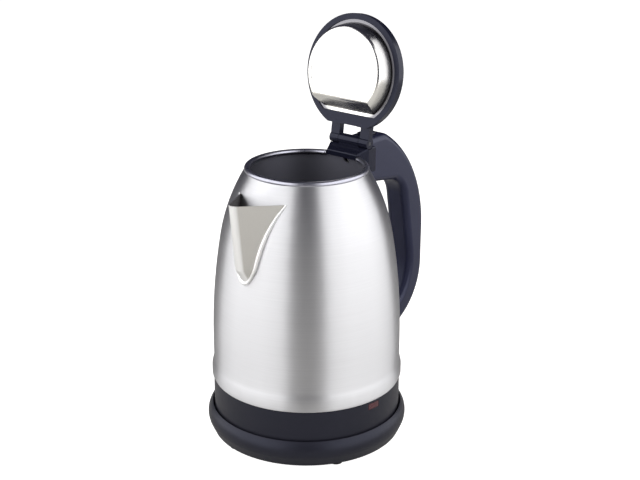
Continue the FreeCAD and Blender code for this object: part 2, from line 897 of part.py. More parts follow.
def make_floor_plate():
    body = new_body("floor_plate")
    edge = wall_inner - s.seat_gap
    corner = s.floor_plate_corner
    sheet = s.floor_plate_thickness
    edge_top = floor_low + corner + s.floor_plate_edge
    revolve(body, [
        (0, floor_low),
        (edge - corner, floor_low),
        (edge, floor_low + corner, TANGENT),
        (edge, edge_top),
        (edge - sheet, edge_top),
        (edge - sheet, floor_low + corner),
        (edge - corner, floor_low + sheet),
        (0, floor_low + sheet),
    ])
    return body


def make_heat_plate():
    body = new_body("heat_plate")
    revolve(body, [
        (0, heat_plate_low),
        (s.heat_plate_radius, heat_plate_low),
        (s.heat_plate_radius, floor_low),
        (0, floor_low),
    ])
    bore = pocket(body, circles(body, "XY_Plane", [(s.control_screw_ring, 0, screw_hole)], heat_plate_low),
                  s.heat_plate_thickness / 2, forward=True)
    around(body, [bore], s.control_screw_count)
    return body


def make_heating_element():
    body = new_body("heating_element")
    level = heat_plate_low - s.element_radius - s.weld_gap
    sketch = circles(body, "XZ_Plane", [(s.element_ring_radius, level, s.element_radius)])
    bend = body.newObject("PartDesign::Revolution", "heating_element_bend")
    bend.Profile = sketch
    bend.ReferenceAxis = (sketch, ["V_Axis"])
    bend.setExpression("Angle", words(s.element_angle))
    bend.Midplane = True
    return body


# Skirt, control and lamp under the steel body
def make_skirt():
    body = new_body("skirt")
    spigot = wall_inner - s.seat_gap
    spigot_top = steel_low + s.spigot_height
    revolve(body, [
        (skirt_inner, skirt_low),
        (skirt_radius - s.skirt_toe, skirt_low),
        (skirt_radius, skirt_low + s.skirt_toe),
        (skirt_radius, skirt_shoulder),
        (spigot, skirt_shoulder),
        (spigot, spigot_top),
        (skirt_inner, spigot_top),
    ])
    boss = pad(body, circles(body, "XY_Plane", [(0 - s.skirt_screw_ring, 0, boss_radius + s.skirt_boss_extra)], skirt_floor_top),
               s.skirt_boss_height)
    hole = pocket(body, circles(body, "XY_Plane", [(0 - s.skirt_screw_ring, 0, screw_hole)], skirt_floor_top),
                  s.screw_length, forward=True)
    around(body, [boss, hole], s.skirt_screw_count)
    ear_outer = s.switch_half_width + s.running_gap + s.switch_ear_width
    ear_low = switch_z - s.switch_ear_half_height
    ear_high = switch_z + s.switch_ear_half_height
    ear_front = switch_x - s.switch_ear_half_height
    ears = box(ear_front, skirt_inner + s.seat_gap, ear_low, ear_high)
    pad(body, outline(body, "XZ_Plane", ears), ear_outer * 2, symmetric=True)
    slot_half = s.switch_half_thickness + s.switch_slot_margin
    margin = s.cut_margin
    mouth = box(ear_front - margin, skirt_radius + margin, switch_z - slot_half, switch_z + slot_half)
    well = box(ear_front - margin, skirt_inner, ear_low - margin, ear_high + margin)
    for cut in (mouth, well):
        pocket(body, outline(body, "XZ_Plane", cut), (s.switch_half_width + s.running_gap) * 2, symmetric=True)
    pocket(body, circles(body, "XZ_Plane", [(switch_x, switch_z, s.pin_radius + s.pin_gap)]),
           ear_outer * 2, symmetric=True)
    window_top = skirt_shoulder - s.lens_drop + s.seat_gap
    window_low = window_top - s.lens_height - s.seat_gap * 2
    window = box(0 - skirt_radius - margin, margin - skirt_inner, window_low, window_top)
    groove(body, window, angle=s.lens_angle + s.seat_gap * 2, plane="YZ_Plane", symmetric=True, turn=lens_turn)
    screw_z = skirt_shoulder - s.handle_low_screw_drop
    pocket(body, circles(body, "YZ_Plane", [(0, screw_z, screw_hole)]), forward=True)
    return body


def make_skirt_floor():
    body = new_body("skirt_floor")
    inner = socket_outer + s.seat_gap
    outer = skirt_inner - s.seat_gap
    revolve(body, box(inner, outer, skirt_floor_low, skirt_floor_top))
    turned_ring = 0 - s.skirt_screw_ring
    screw_holes(body, turned_ring, skirt_floor_low, s.skirt_screw_count, s.skirt_floor_thickness)
    return body


def make_skirt_screws():
    return screws("skirt_screws", 0 - s.skirt_screw_ring, skirt_floor_low, s.skirt_screw_count,
                  s.skirt_floor_thickness - s.screw_head_height + s.screw_length - s.seat_gap)


def make_control_housing():
    body = new_body("control_housing")
    flange_radius = socket_outer + s.control_flange_width
    flange_low = control_top - s.control_flange_thickness
    revolve(body, [
        (0, socket_ceiling),
        (socket_inner, socket_ceiling),
        (socket_inner, socket_low),
        (socket_outer, socket_low),
        (socket_outer, flange_low),
        (flange_radius, flange_low),
        (flange_radius, control_top),
        (0, control_top),
    ])
    pad(body, circles(body, "XY_Plane", [(0, 0, s.bimetal_radius / 2)], control_top),
        heat_plate_low - control_top - s.bimetal_thickness - s.seat_gap)
    post = pad(body, circles(body, "XY_Plane", [(s.control_screw_ring, 0, boss_radius)], control_top),
               heat_plate_low - control_top)
    bore = pocket(body, circles(body, "XY_Plane", [(s.control_screw_ring, 0, screw_hole)], flange_low),
                  heat_plate_low - flange_low, forward=True)
    around(body, [post, bore], s.control_screw_count)
    return body


def make_connector_contacts():
    body = new_body("connector_contacts")
    low = slot_floor + s.slot_clearance * 2
    height = socket_ceiling - low
    pad(body, circles(body, "XY_Plane", [(0, 0, s.contact_pin_radius)], low), height)
    pad(body, circles(body, "XY_Plane", [(0, 0, ring_contact_outer), (0, 0, s.contact_ring_radius)], low), height)
    return body


def make_bimetal_disc():
    body = new_body("bimetal_disc")
    low = heat_plate_low - s.bimetal_thickness - s.seat_gap
    pad(body, circles(body, "XY_Plane", [(0, 0, s.bimetal_radius)], low), s.bimetal_thickness)
    return body


def make_control_screws():
    low = control_top - s.control_flange_thickness - s.screw_head_height
    length = heat_plate_low + s.heat_plate_thickness / 2 - low - s.screw_head_height - s.seat_gap
    return screws("control_screws", s.control_screw_ring, low, s.control_screw_count, length)


def lens_levels():
    high = skirt_shoulder - s.lens_drop
    return high - s.lens_height, high


def make_indicator_lens():
    body = new_body("indicator_lens")
    low, high = lens_levels()
    back = skirt_inner - s.seat_gap
    face = box(0 - skirt_radius, 0 - back, low, high)
    flange = box(0 - back, s.lens_flange - back, low - s.lens_flange, high + s.lens_flange)
    revolve(body, face, angle=s.lens_angle, plane="YZ_Plane", symmetric=True, turn=lens_turn)
    revolve(body, flange, angle=s.lens_flange_angle, plane="YZ_Plane", symmetric=True, turn=lens_turn)
    return body


def make_indicator_lamp():
    body = new_body("indicator_lamp")
    low, high = lens_levels()
    front = skirt_inner - s.seat_gap * 2 - s.lens_flange
    pad(body, circles(body, "XZ_Plane", [(0, (low + high) / 2, s.lamp_radius)], front - s.lamp_length),
        s.lamp_length)
    round_edges(body, s.lamp_rounding, lambda edge: edge.BoundBox.YMax > s.lamp_length.value - front.value - 0.1)
    body.Placement = FreeCAD.Placement(FreeCAD.Vector(0, 0, 0), FreeCAD.Rotation(FreeCAD.Vector(0, 0, 1), 1))
    body.setExpression("Placement.Rotation.Angle", words(lens_turn))
    return body


# Handle and its fixings
def finger_line(depth):
    """The finger side of the grip from its foot to its hook, moved into the handle by depth."""
    point = (grip_x - s.finger_foot_inset, grip_low - s.finger_foot_drop)
    heading = s.leg_angle
    bends = [
        (s.finger_low_radius, s.finger_low_angle),
        (None, s.finger_straight),
        (s.finger_high_radius, s.finger_high_angle),
        (s.hook_radius, s.hook_angle),
    ]
    line = [(point[0] + depth * sine(heading), point[1] - depth * cosine(heading))]
    for radius, amount in bends:
        if radius is None:
            point = (point[0] + amount * cosine(heading), point[1] + amount * sine(heading))
        else:
            after = heading + amount
            point = (point[0] + radius * (sine(after) - sine(heading)),
                     point[1] + radius * (cosine(heading) - cosine(after)))
            heading = after
        offset = (point[0] + depth * sine(heading), point[1] - depth * cosine(heading))
        line.append(offset if radius is None else offset + (radius + depth,))
    return line


def grip_cover_band(gap):
    """The strip along the finger side, from its face to its back; gap widens it into its seat."""
    depth = s.grip_cover_depth + gap
    foot, low, high, top = finger_line(depth)[:4]
    back = [
        (top[0], top[1]),
        (high[0], high[1], 0 - (s.finger_high_radius + depth)),
        (low[0], low[1]),
        (foot[0], foot[1], 0 - (s.finger_low_radius + depth)),
    ]
    return finger_line(0)[:4] + back


def steam_path(body, start_x):
    """The tube's centre line, from the neck of the body to the foot of the handle."""
    spine = new_sketch(body, "XZ_Plane", None)
    neck_z = pivot_z - s.steam_drop
    chain(spine, [
        (start_x, neck_z),
        (neck_front + s.steam_turn_set_back, neck_z),
        (grip_x - s.steam_high_inset, grip_mid + s.steam_high_rise, TANGENT),
        (grip_x - s.steam_mid_inset, grip_mid - s.steam_mid_drop, TANGENT),
        (grip_x - s.steam_low_inset, grip_low - s.steam_low_drop, TANGENT),
        (grip_x - s.steam_end_inset, grip_low - s.steam_end_drop, TANGENT),
    ], False)
    return spine


def bracket_top():
    return block_low - s.bracket_drop


def handle_top_screw_x():
    return neck_front + s.handle_screw_set_back


def handle_top_screw_z():
    """Where the head of the upper screw seats, in the underside of the neck."""
    return bracket_top() - s.bracket_thickness - s.handle_screw_depth


def make_handle_shell():
    body = new_body("handle_shell")
    arc_x = grip_x - s.grip_top_radius
    crest_z = handle_top - s.crest_radius
    crest_x = arc_x + leg(s.grip_top_radius - s.crest_radius, crest_z - grip_mid)
    swell = s.grip_top_radius / (s.grip_top_radius - s.crest_radius)
    # The grip and the leg meet in a corner that the low radius rounds
    bend = s.grip_low_radius * tangent((90 - s.leg_angle) / 2)
    knee_x = grip_x - bend * cosine(s.leg_angle)
    knee_z = grip_low - bend * sine(s.leg_angle)
    root_x = skirt_inner
    root_z = knee_z - (knee_x - root_x) * tangent(s.leg_angle)
    finger = finger_line(0)
    finger_root_z = finger[0][1] - (finger[0][0] - root_x) * tangent(s.leg_angle)
    neck_x = neck_root
    neck_angle = s.leg_angle + s.finger_low_angle + s.finger_high_angle + s.hook_angle
    neck_z = finger[-1][1] + (neck_x - finger[-1][0]) * tangent(neck_angle)
    pad(body, outline(body, "XZ_Plane", [
        (neck_front, handle_top),
        (crest_x, handle_top),
        (arc_x + (crest_x - arc_x) * swell, grip_mid + (crest_z - grip_mid) * swell, 0 - s.crest_radius),
        (grip_x, grip_mid, 0 - s.grip_top_radius),
        (grip_x, grip_low + bend),
        (knee_x, knee_z, 0 - s.grip_low_radius),
        (root_x, root_z),
        (root_x, finger_root_z),
    ] + finger + [
        (neck_x, neck_z),
        (neck_x, block_low - s.seat_gap),
        (neck_front, block_low - s.seat_gap),
    ]), s.handle_half_width * 2, symmetric=True)
    reach = skirt_radius.value + s.handle_rounding.value
    round_edges(body, s.handle_rounding, lambda edge: edge.BoundBox.XMax > reach and edge.BoundBox.YLength < 0.01)
    groove(body, kettle_outline(s.seat_gap))
    cover_seat = outline(body, "XZ_Plane", grip_cover_band(s.seat_gap))
    pocket(body, cover_seat, (s.grip_cover_half_width + s.seat_gap) * 2, symmetric=True)
    button_x = neck_front + s.button_set_back
    gap = s.running_gap
    button_seat = rounded_box(button_x - gap, button_x + s.button_length + gap,
                              0 - s.button_half_width - gap, s.button_half_width + gap, s.button_corner)
    pocket(body, outline(body, "XY_Plane", button_seat, handle_top), s.button_pocket_depth)
    strap_x = neck_front + s.bracket_reach + s.seat_gap
    strap_low = bracket_top() - s.bracket_thickness - s.seat_gap
    strap = box(neck_x - s.cut_margin, strap_x, strap_low, bracket_top() + s.seat_gap)
    pocket(body, outline(body, "XZ_Plane", strap), (s.bracket_half_width + s.seat_gap) * 2, symmetric=True)
    screw_x = handle_top_screw_x()
    seat_z = handle_top_screw_z() + s.screw_head_height
    head_hole = circles(body, "XY_Plane", [(screw_x, 0, s.screw_head_radius + s.seat_gap)], seat_z)
    pocket(body, head_hole, seat_z - grip_mid)
    shank_hole = circles(body, "XY_Plane", [(screw_x, 0, screw_hole)], seat_z)
    pocket(body, shank_hole, s.screw_length, forward=True)
    low_screw_z = skirt_shoulder - s.handle_low_screw_drop
    low_hole = circles(body, "YZ_Plane", [(0, low_screw_z, screw_hole)], skirt_inner)
    pocket(body, low_hole, s.skirt_wall + s.screw_length + s.seat_gap, forward=True)
    channel = circles(body, "YZ_Plane", [(0, pivot_z - s.steam_drop, s.steam_radius + s.seat_gap)], block_rear)
    pipe(body, "SubtractivePipe", channel, steam_path(body, block_rear))
    return body


def make_handle_inner_cover():
    body = new_body("handle_inner_cover")
    pad(body, outline(body, "XZ_Plane", grip_cover_band(0)), s.grip_cover_half_width * 2, symmetric=True)
    return body


def make_handle_screws():
    body = new_body("handle_screws")
    x = handle_top_screw_x()
    z = handle_top_screw_z()
    pad(body, circles(body, "XY_Plane", [(x, 0, s.screw_head_radius)], z), s.screw_head_height)
    pad(body, circles(body, "XY_Plane", [(x, 0, s.screw_radius)], z + s.screw_head_height),
        s.screw_length - s.seat_gap)
    low_z = skirt_shoulder - s.handle_low_screw_drop
    seat = skirt_inner - s.seat_gap
    pad(body, circles(body, "YZ_Plane", [(0, low_z, s.screw_head_radius)], seat), s.screw_head_height, backward=True)
    pad(body, circles(body, "YZ_Plane", [(0, low_z, s.screw_radius)], seat), s.skirt_wall + s.screw_length)
    return body


def make_handle_top_bracket():
    body = new_body("handle_top_bracket")
    high = bracket_top()
    strap = box(rim_outer, neck_front + s.bracket_reach, high - s.bracket_thickness, high)
    pad(body, outline(body, "XZ_Plane", strap), s.bracket_half_width * 2, symmetric=True)
    groove(body, kettle_outline(s.weld_gap))
    hole = circles(body, "XY_Plane", [(handle_top_screw_x(), 0, screw_hole)], high)
    pocket(body, hole, s.bracket_thickness)
    return body


def make_steam_tube():
    body = new_body("steam_tube")
    start_x = neck_root
    for kind, radius in (("AdditivePipe", s.steam_radius), ("SubtractivePipe", s.steam_bore_radius)):
        section = circles(body, "YZ_Plane", [(0, pivot_z - s.steam_drop, radius)], start_x)
        pipe(body, kind, section, steam_path(body, start_x))
    groove(body, kettle_outline(s.weld_gap))
    return body


# Lid hinge on the rear rim
def make_hinge_block():
    body = new_body("hinge_block")
    half = arm_outer + s.block_side
    slope_x = block_front + s.block_slope
    nose = rim_top + s.block_nose_rise
    pad(body, outline(body, "XY_Plane", [
        (block_front, 0 - s.block_front_half),
        (slope_x, 0 - half),
        (block_rear, 0 - half),
        (block_rear, half),
        (slope_x, half),
        (block_front, s.block_front_half),
    ], block_low), block_top - block_low)
    pocket(body, outline(body, "XZ_Plane", [
        (block_front, nose),
        (slope_x, block_top),
        (slope_x, block_top + s.cut_margin),
        (block_front - s.cut_margin, block_top + s.cut_margin),
        (block_front - s.cut_margin, nose),
    ]), half * 2, symmetric=True)
    lowest = nose.value - 0.01
    round_edges(body, s.block_rounding, lambda edge: edge.BoundBox.ZMin > lowest)
    slot = s.rim_slot_gap
    groove(body, [(0, skirt_low), (bead_radius, skirt_low)] + wall_rise(slot) + [
        (rim_outer + slot, rim_top + slot),
        (s.rim_inner_radius - slot, rim_top + slot),
        (s.rim_inner_radius - slot, rim_top - s.block_lip_depth),
        (0, rim_top - s.block_lip_depth),
    ])
    swing = s.knuckle_radius + s.running_gap
    pocket(body, circles(body, "XZ_Plane", [(pivot_x, pivot_z, swing)]), half * 2, symmetric=True)
    web = box(pivot_x - s.web_half_thickness, pivot_x + s.web_half_thickness, rim_top + slot, pivot_z)
    pad(body, outline(body, "XZ_Plane", web), barrel_half * 2, symmetric=True)
    pad(body, circles(body, "XZ_Plane", [(pivot_x, pivot_z, s.barrel_radius)]), barrel_half * 2, symmetric=True)
    pocket(body, circles(body, "XZ_Plane", [(pivot_x, pivot_z, s.pin_radius + s.pin_gap)]),
           barrel_half * 2, symmetric=True)
    pocket(body, circles(body, "XZ_Plane", [(pivot_x, pivot_z, s.spring_bore_radius)]),
           s.spring_bore_half * 2, symmetric=True)
    steam = circles(body, "YZ_Plane", [(0, pivot_z - s.steam_drop, s.steam_radius + s.seat_gap)])
    pocket(body, steam, forward=True)
    return body


def make_hinge_pin():
    body = new_body("hinge_pin")
    pad(body, circles(body, "XZ_Plane", [(pivot_x, pivot_z, s.pin_radius)]), arm_outer * 2, symmetric=True)
    return body


def make_lid_spring():
    body = new_body("lid_spring")
    coil(body, s.lid_spring_radius, s.lid_spring_wire_radius, s.lid_spring_pitch, s.lid_spring_turns)
    along_pin = FreeCAD.Rotation(FreeCAD.Vector(1, 0, 0), 90)
    body.Placement = FreeCAD.Placement(FreeCAD.Vector(0, 0, 0), along_pin)
    half = s.lid_spring_pitch * s.lid_spring_turns / 2 + s.lid_spring_wire_radius
    body.setExpression("Placement.Base.x", words(pivot_x))
    body.setExpression("Placement.Base.y", words(half))
    body.setExpression("Placement.Base.z", words(pivot_z))
    return body


# Lid, drawn shut on the kettle's axis and then swung open about the pivot
def swing_open(body):
    reach = pivot_x * (1 - cosine(s.lid_open_angle))
    rise = pivot_z + pivot_x * sine(s.lid_open_angle)
    place(body, reach, rise, s.lid_open_angle)


def flat_sided(radius, chord):
    """A circle cut off by a straight side towards the hinge."""
    half = leg(radius, chord)
    return [(chord, 0 - half, radius), (chord, half), (0 - radius, 0, radius)]


def make_lid_frame():
    body = new_body("lid_frame")
    rim_inner = lid_radius - s.lid_rim_width
    ledge_inner = rim_inner - s.lid_ledge_width
    recess = lid_radius - s.lid_rim_rounding - s.lid_top_width
    shoulder = 0 - s.lid_rim_rounding
    revolve(body, [
        (0, lid_deck),
        (ledge_inner, lid_deck),
        (ledge_inner, lid_ledge),
        (rim_inner, lid_ledge),
        (rim_inner, lid_low),
        (lid_radius, lid_low),
        (lid_radius, shoulder),
        (lid_radius - s.lid_rim_rounding, 0, TANGENT),
        (recess, 0),
        (recess, 0 - s.lid_plate_recess),
        (0, 0 - s.lid_plate_recess),
    ])
    heel_x = pan_flange_chord + s.seat_gap
    heel_half = leg(rim_inner, heel_x)
    heel = [(heel_x, 0 - heel_half), (rim_inner, 0, rim_inner), (heel_x, heel_half, rim_inner)]
    pad(body, outline(body, "XY_Plane", heel, lid_low), lid_deck - lid_low)
    arm_low = 0 - s.arm_half_thickness
    arms = box(lid_radius - s.arm_root_inset, pivot_x, arm_low, s.arm_half_thickness)
    pad(body, outline(body, "XZ_Plane", arms), arm_outer * 2, symmetric=True)
    pad(body, circles(body, "XZ_Plane", [(pivot_x, 0, s.knuckle_radius)]), arm_outer * 2, symmetric=True)
    relief = box(block_front - s.running_gap, lid_radius + s.cut_margin, lid_low - s.cut_margin, 0 - s.lid_relief)
    pocket(body, outline(body, "XZ_Plane", relief), lid_radius * 2, symmetric=True)
    window = box(lid_radius - s.lid_window_inset, pivot_x + s.knuckle_radius + s.cut_margin,
                 0 - s.arm_inner_half, s.arm_inner_half)
    pocket(body, outline(body, "XY_Plane", window, lid_low - s.cut_margin), forward=True)
    pocket(body, circles(body, "XZ_Plane", [(pivot_x, 0, s.pin_radius + s.pin_gap)]), arm_outer * 2, symmetric=True)
    swing_open(body)
    return body


def make_lid_top_plate():
    body = new_body("lid_top_plate")
    edge = lid_radius - s.lid_rim_rounding - s.lid_top_width - s.seat_gap
    low = 0 - s.lid_plate_recess
    edge_top = low + s.lid_plate_thickness
    crown_radius = (edge * edge + s.lid_plate_crown * s.lid_plate_crown) / (s.lid_plate_crown * 2)
    revolve(body, [(0, low), (edge, low), (edge, edge_top), (0, edge_top + s.lid_plate_crown, crown_radius)])
    swing_open(body)
    return body


def make_lid_inner_pan():
    body = new_body("lid_inner_pan")
    flange_low = lid_ledge - s.pan_sheet
    floor = lid_ledge - s.pan_depth
    mouth = pan_flange_radius - s.pan_mouth_inset
    foot = pan_flange_radius - s.pan_side_inset
    mouth_chord = pan_flange_chord - s.pan_flange_width
    foot_chord = mouth_chord - s.pan_side_lean
    loft(body, "AdditiveLoft", [
        outline(body, "XY_Plane", flat_sided(mouth, mouth_chord), lid_ledge),
        outline(body, "XY_Plane", flat_sided(foot, foot_chord), floor),
    ])
    floor_level = floor.value
    round_edges(body, s.pan_rounding, lambda edge: edge.BoundBox.ZMax < floor_level + 0.01)
    pad(body, outline(body, "XY_Plane", flat_sided(pan_flange_radius, pan_flange_chord), flange_low), s.pan_sheet)
    inset = s.pan_sheet
    corner = inset + s.pan_rounding / 3
    loft(body, "SubtractiveLoft", [
        outline(body, "XY_Plane", flat_sided(mouth - inset, mouth_chord - inset), lid_ledge),
        outline(body, "XY_Plane", flat_sided(foot - corner, foot_chord - corner), floor + inset * 2),
    ])
    panel = flat_sided(foot - s.pan_panel_inset, foot_chord - s.pan_panel_inset)
    pocket(body, outline(body, "XY_Plane", panel, floor), s.pan_panel_depth, forward=True)
    swing_open(body)
    return body


# Lid button on the handle
def make_lid_button():
    body = new_body("lid_button")
    x = neck_front + s.button_set_back
    low = handle_top - s.button_sink
    high = handle_top + s.button_proud
    plan = rounded_box(x, x + s.button_length, 0 - s.button_half_width, s.button_half_width, s.button_corner)
    pad(body, outline(body, "XY_Plane", plan, low), high - low)
    top_level = high.value
    round_edges(body, s.button_crown, lambda edge: edge.BoundBox.ZMin > top_level - 0.01)
    middle = x + s.button_length / 2
    pocket(body, circles(body, "XY_Plane", [(middle, 0, s.button_bore_radius)], low),
           high - low - s.button_bore_ceiling, forward=True)
    return body


def make_button_spring():
    body = new_body("button_spring")
    room = s.button_pocket_depth + s.button_proud - s.button_bore_ceiling - s.seat_gap * 2
    pitch = (room - s.button_spring_wire_radius * 2) / s.button_spring_turns
    coil(body, s.button_spring_radius, s.button_spring_wire_radius, pitch, s.button_spring_turns)
    x = neck_front + s.button_set_back + s.button_length / 2
    place(body, x, handle_top - s.button_pocket_depth + s.seat_gap)
    return body


# Switch under the handle
def make_switch_lever():
    body = new_body("switch_lever")
    thick = s.switch_half_thickness
    tip_x = skirt_radius + s.switch_reach
    blade = rounded_box(switch_x, tip_x, switch_z - thick, switch_z + thick, thick - s.seat_gap)
    pad(body, outline(body, "XZ_Plane", blade), s.switch_half_width * 2, symmetric=True)
    pad(body, circles(body, "XZ_Plane", [(switch_x, switch_z, s.switch_hub_radius)]),
        s.switch_half_width * 2, symmetric=True)
    pocket(body, circles(body, "XZ_Plane", [(switch_x, switch_z, s.pin_radius + s.pin_gap)]), symmetric=True)
    return body


def make_switch_pin():
    body = new_body("switch_pin")
    half = s.switch_half_width + s.running_gap + s.switch_ear_width
    pad(body, circles(body, "XZ_Plane", [(switch_x, switch_z, s.pin_radius)]), half * 2, symmetric=True)
    return body


make_base_shell()
make_base_bottom_cover()
make_base_feet()
make_base_screws()
make_base_connector()
make_base_contacts()
make_contact_shutter()
make_body_shell()
make_spout()
make_spout_strainer()
make_floor_plate()
make_heat_plate()
make_heating_element()
make_skirt()
make_skirt_floor()
make_skirt_screws()
make_control_housing()
make_connector_contacts()
make_bimetal_disc()
make_control_screws()
make_indicator_lens()
make_indicator_lamp()
make_handle_shell()
make_handle_inner_cover()
make_handle_screws()
make_handle_top_bracket()
make_steam_tube()
make_hinge_block()
make_hinge_pin()
make_lid_spring()
make_lid_frame()
make_lid_top_plate()
make_lid_inner_pan()
make_lid_button()
make_button_spring()
make_switch_lever()
make_switch_pin()
doc.recompute()

failed = [thing.Label for thing in doc.Objects if {"Invalid", "Error"} & set(thing.State)]
failed += [body.Label for body in parts if body.Shape.isNull() or not body.Shape.isValid()]
if failed:
    raise RuntimeError("these did not build: " + ", ".join(failed))

os.makedirs("parts", exist_ok=True)
for body in parts:
    body.Shape.exportStep("parts/%s.step" % body.Label)
    print("%-20s %d solids %10.1f mm3" % (body.Label, len(body.Shape.Solids), body.Shape.Volume))
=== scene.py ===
# Looks of a cordless steel kettle on its power base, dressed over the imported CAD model.
# All lengths are in metres, in the CAD frame: +Z up, spout along -X, handle along +X.
import math

import bmesh
import bpy
from mathutils import Matrix, Vector


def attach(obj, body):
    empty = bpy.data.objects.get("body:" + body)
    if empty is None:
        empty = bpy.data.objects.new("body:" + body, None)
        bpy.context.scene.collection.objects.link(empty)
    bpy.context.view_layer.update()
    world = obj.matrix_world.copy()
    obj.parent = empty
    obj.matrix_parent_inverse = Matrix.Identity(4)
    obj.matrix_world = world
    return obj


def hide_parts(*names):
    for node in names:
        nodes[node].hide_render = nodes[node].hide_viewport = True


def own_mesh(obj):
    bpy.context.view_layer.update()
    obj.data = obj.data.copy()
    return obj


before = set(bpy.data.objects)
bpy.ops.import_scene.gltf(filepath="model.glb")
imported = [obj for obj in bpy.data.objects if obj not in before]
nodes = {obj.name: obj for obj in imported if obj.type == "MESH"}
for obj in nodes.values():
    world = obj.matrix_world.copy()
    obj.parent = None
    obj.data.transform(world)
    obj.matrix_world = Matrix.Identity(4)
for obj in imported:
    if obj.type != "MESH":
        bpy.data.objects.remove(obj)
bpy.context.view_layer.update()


# Base housing and skirt: black ABS mouldings. The housing has the well that the kettle stands in and is
# closed from below by a plate on three screws, and the skirt carries the steel body. Their moulds are
# spark-eroded.
FACET_GAP = 0.00001
CREASE = math.radians(30)


def linear(code):
    """An sRGB hex colour as linear red, green, blue and alpha."""
    shares = [int(code[place:place + 2], 16) / 255 for place in (1, 3, 5)]
    return [c / 12.92 if c <= 0.04045 else ((c + 0.055) / 1.055) ** 2.4 for c in shares] + [1.0]


def add(material, kind, settings, links=None):
    """Adds a node: settings set its own values or, by name or number, its sockets; links feed sockets."""
    node = material.node_tree.nodes.new("ShaderNode" + kind)
    for name, value in settings.items():
        if isinstance(name, int) or name in node.inputs:
            node.inputs[name].default_value = value
        else:
            setattr(node, name, value)
    for name, source in (links or {}).items():
        material.node_tree.links.new(source, node.inputs[name])
    return node


def start(name, **sockets):
    """A new material, its main shader with fixed values on its sockets, and its object coordinates."""
    material = bpy.data.materials.new(name)
    material.use_nodes = True
    shader = material.node_tree.nodes["Principled BSDF"]
    for socket, value in sockets.items():
        shader.inputs[socket.replace("_", " ")].default_value = value
    place = add(material, "TexCoord", {}).outputs["Object"]
    return material, shader, place


def dress(names, material):
    """Gives CAD nodes a finish, and shades their facets smooth and even up to a crease."""
    for name in names:
        node = nodes[name]
        node.data.materials.clear()
        node.data.materials.append(material)
        node.data.polygons.foreach_set("use_smooth", [True] * len(node.data.polygons))
        weld = node.modifiers.new("join facets", "WELD")
        weld.merge_threshold = FACET_GAP
        split = node.modifiers.new("keep creases", "EDGE_SPLIT")
        split.split_angle = CREASE
        node.modifiers.new("even facets", "WEIGHTED_NORMAL")


# Moulded ABS: a soft broken sheen from grains about 0.2 mm wide, drawn 0.7 mm wide so that they show.
ABS_IOR = 1.53
ABS_SHEEN = linear("#ccd0ea")
BASE_GRAIN = 0.0007
BASE_CLOUD = 0.04
base_abs, shader, place = start("base_abs_moulded", IOR=ABS_IOR, Specular_IOR_Level=0.35,
                                Specular_Tint=ABS_SHEEN)
grain = add(base_abs, "TexNoise", {"Scale": 1 / BASE_GRAIN, "Detail": 3.0}, {"Vector": place})
cloud = add(base_abs, "TexNoise", {"Scale": 1 / BASE_CLOUD, "Detail": 2.0}, {"Vector": place})
tint = add(base_abs, "ValToRGB", {}, {"Fac": cloud.outputs["Fac"]})
tint.color_ramp.elements[0].color = linear("#15151b")
tint.color_ramp.elements[1].color = linear("#1b1b23")
sheen = add(base_abs, "MapRange", {"To Min": 0.34, "To Max": 0.48}, {"Value": grain.outputs["Fac"]})
relief = add(base_abs, "Bump", {"Strength": 0.08, "Distance": 0.00005}, {"Height": grain.outputs["Fac"]})
base_abs.node_tree.links.new(tint.outputs["Color"], shader.inputs["Base Color"])
base_abs.node_tree.links.new(sheen.outputs["Result"], shader.inputs["Roughness"])
base_abs.node_tree.links.new(relief.outputs["Normal"], shader.inputs["Normal"])
dress(["base_shell", "base_bottom_cover", "base_connector", "contact_shutter", "control_housing", "skirt",
       "skirt_floor"], base_abs)

# Feet: a ring of five discs and one in the middle, of black rubber pressed into the bottom cover.
# They are dull, and paler where dust about 2 mm across clings to them.
FOOT_DUST = 0.002
rubber, shader, place = start("foot_rubber_pressed", Roughness=0.85, IOR=1.5)
dust = add(rubber, "TexNoise", {"Scale": 1 / FOOT_DUST, "Detail": 4.0}, {"Vector": place})
tint = add(rubber, "ValToRGB", {}, {"Fac": dust.outputs["Fac"]})
tint.color_ramp.elements[0].color = linear("#1a1a1c")
tint.color_ramp.elements[1].color = linear("#2a2a2c")
rubber.node_tree.links.new(tint.outputs["Color"], shader.inputs["Base Color"])
dress(["base_feet"], rubber)

# Contacts: the sleeves in the base's post, the pin and ring that dip into them and the disc of the cut-out.
# They are stamped from brass sheet and pressed into their mouldings. Tarnish in patches about 4 mm wide
# deepens their yellow.
TARNISH_PATCH = 0.004
brass, shader, place = start("contact_brass_stamped", Metallic=1.0, Roughness=0.3)
tarnish = add(brass, "TexNoise", {"Scale": 1 / TARNISH_PATCH, "Detail": 4.0}, {"Vector": place})
tint = add(brass, "ValToRGB", {}, {"Fac": tarnish.outputs["Fac"]})
tint.color_ramp.elements[0].color = linear("#b08d4a")
tint.color_ramp.elements[1].color = linear("#d0ae62")
brass.node_tree.links.new(tint.outputs["Color"], shader.inputs["Base Color"])
dress(["base_contacts", "connector_contacts", "bimetal_disc"], brass)

